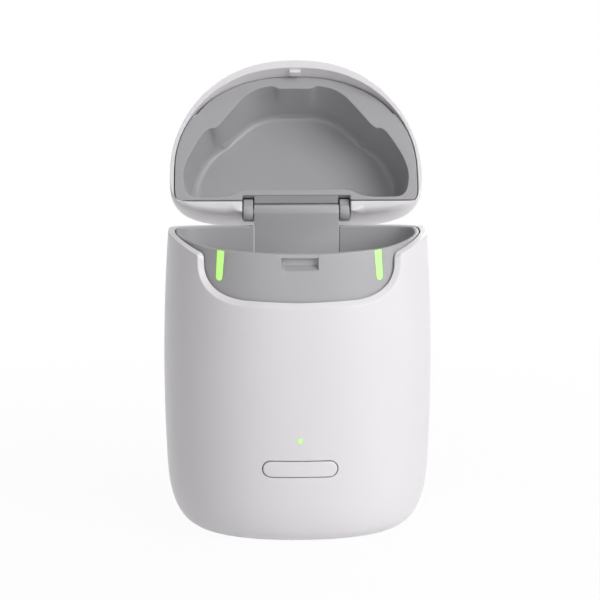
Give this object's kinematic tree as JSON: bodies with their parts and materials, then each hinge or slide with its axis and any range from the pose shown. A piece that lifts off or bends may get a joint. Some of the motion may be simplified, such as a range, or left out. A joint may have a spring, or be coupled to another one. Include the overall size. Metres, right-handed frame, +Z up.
{
  "type": "hearing aid charger",
  "caption": "Upright tabletop charging case with a domed hinged lid, a scooped front wall, leaning charging slots, lit bars and a long front button.",
  "frame": {"origin": "middle of the rubber pad's underside, where the case stands", "axes": "+X to the right seen from the front, +Y towards the hinge at the back, +Z up"},
  "size_m": [0.0788, 0.0868, 0.1328],
  "materials": {
    "shell_white": "semi-gloss moulded plastic",
    "dock_grey": "satin moulded plastic",
    "block_grey": "satin moulded plastic",
    "inner_grey": "moulded plastic",
    "dark_plastic": "matt moulded plastic",
    "pad_rubber": "matt rubber",
    "steel": "satin",
    "copper": "wound enamelled wire",
    "board_green": "lacquered board",
    "light_green": "lit translucent plastic",
    "lamp_clear": "clear resin",
    "cell_foil": "foil pouch"
  },
  "bodies": {
    "base": {"outer_shell": "shell_white", "bottom_cover": "shell_white", "foot_pad": "pad_rubber", "base_screw_1": "steel", "base_screw_2": "steel", "base_screw_3": "steel", "base_screw_4": "steel", "chassis": "inner_grey", "main_board": "board_green", "usb_socket": "steel", "battery_cell": "cell_foil", "front_board": "board_green", "button_switch": "dark_plastic", "status_lamp": "lamp_clear", "status_light": "light_green", "dock_tub": "dock_grey", "charging_block": "block_grey", "hinge_tower": "dock_grey", "hinge_pin": "steel", "light_bar_left": "light_green", "light_bar_right": "light_green", "lamp_strip_left": "board_green", "lamp_strip_right": "board_green", "slot_pad_left": "dark_plastic", "slot_pad_right": "dark_plastic", "charging_coil_left": "copper", "charging_coil_right": "copper", "coil_shield_left": "dark_plastic", "coil_shield_right": "dark_plastic", "dock_screw_left": "steel", "dock_screw_right": "steel", "hinge_screw_left": "steel", "hinge_screw_right": "steel"},
    "lid": {"lid_shell": "shell_white", "lid_liner": "dock_grey", "lid_catch": "shell_white", "hinge_ear_left": "dock_grey", "hinge_ear_right": "dock_grey"},
    "button": {"front_button": "shell_white", "switch_plunger": "dark_plastic"}
  },
  "joints": [
    {"name": "lid_hinge", "type": "hinge", "parent": "base", "child": "lid", "pos_m": [0, 0.0232, 0.0892], "axis": [1, 0, 0], "range_deg": [0, 128]},
    {"name": "button_press", "type": "slide", "parent": "base", "child": "button", "axis": [0, 1, 0], "range_m": [0, 0.0006], "stiffness_N_per_m": 600}
  ]
}
